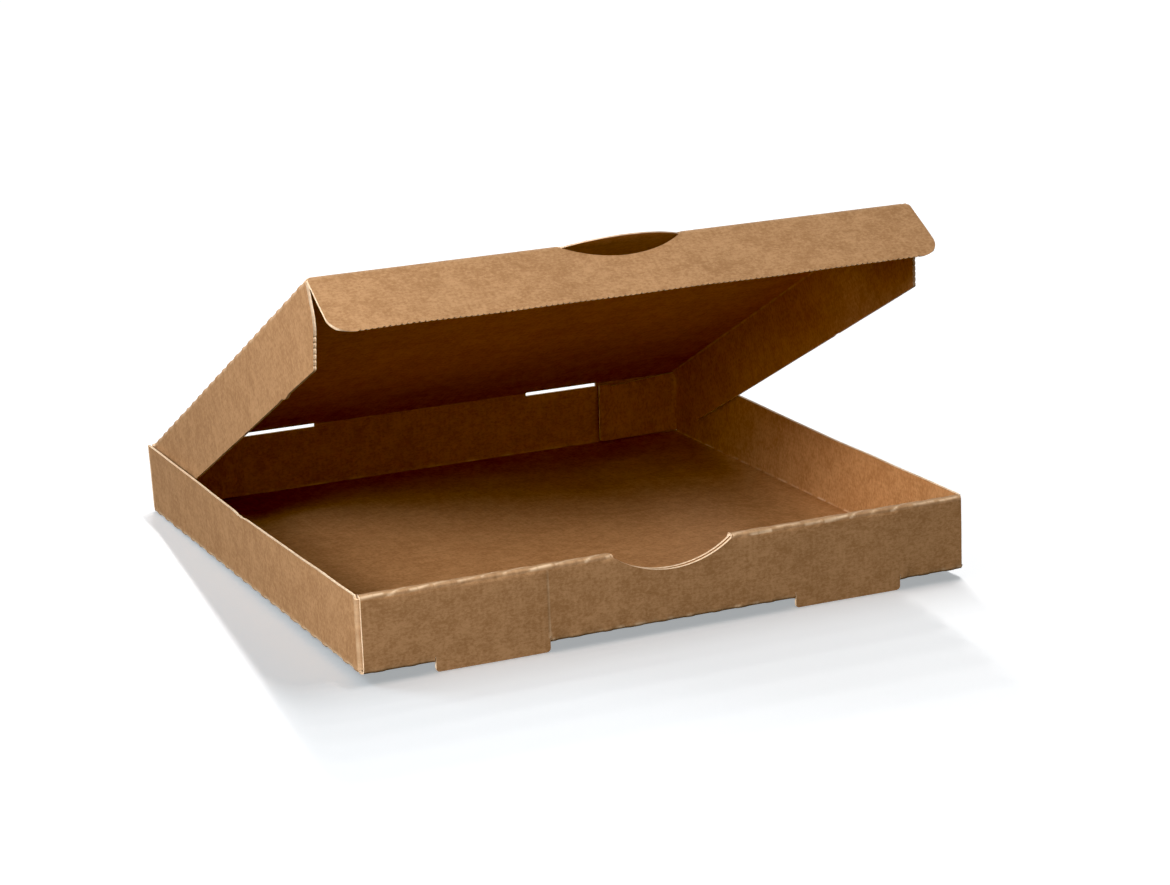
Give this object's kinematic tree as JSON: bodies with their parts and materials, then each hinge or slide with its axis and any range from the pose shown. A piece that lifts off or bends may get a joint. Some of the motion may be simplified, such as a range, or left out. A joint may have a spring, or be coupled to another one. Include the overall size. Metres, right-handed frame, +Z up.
{
  "type": "pizza box",
  "caption": "Flat square pizza box folded from plain kraft corrugated board: shallow tray with a rolled front wall and finger scoop, and a hinged lid with tuck flaps, part open.",
  "frame": {"origin": "on the table under the middle of the whole box", "axes": "+X to the right seen from the front, +Y from the front wall to the lid's crease at the back, +Z up"},
  "size_m": [0.356, 0.3666, 0.2074],
  "materials": {
    "kraft_board": "matte uncoated brown kraft liner on fine-flute corrugated board"
  },
  "bodies": {
    "tray": {"base_tray": "kraft_board"},
    "lid": {"lid_panel": "kraft_board"},
    "front_flap": {"lid_front_flap": "kraft_board"},
    "left_flap": {"lid_left_flap": "kraft_board"},
    "right_flap": {"lid_right_flap": "kraft_board"}
  },
  "joints": [
    {"name": "lid_hinge", "type": "hinge", "parent": "tray", "child": "lid", "pos_m": [0, 0.1817, 0.0404], "axis": [-1, 0, 0], "range_deg": [-25.7, 47.5]},
    {"name": "front_flap_fold", "type": "hinge", "parent": "lid", "child": "front_flap", "pos_m": [0, -0.12729, 0.20049], "axis": [-1, 0, 0], "range_deg": [-31.5, 58]},
    {"name": "left_flap_fold", "type": "hinge", "parent": "lid", "child": "left_flap", "pos_m": [-0.1742, 0.0272, 0.12044], "axis": [0, -0.8879, 0.46], "range_deg": [0, 75]},
    {"name": "right_flap_fold", "type": "hinge", "parent": "lid", "child": "right_flap", "pos_m": [0.1742, 0.0272, 0.12044], "axis": [0, 0.8879, -0.46], "range_deg": [0, 75]}
  ],
  "couplings": [
    {"joint": "front_flap_fold", "follows": "lid_hinge", "ratio": 1.22}
  ]
}
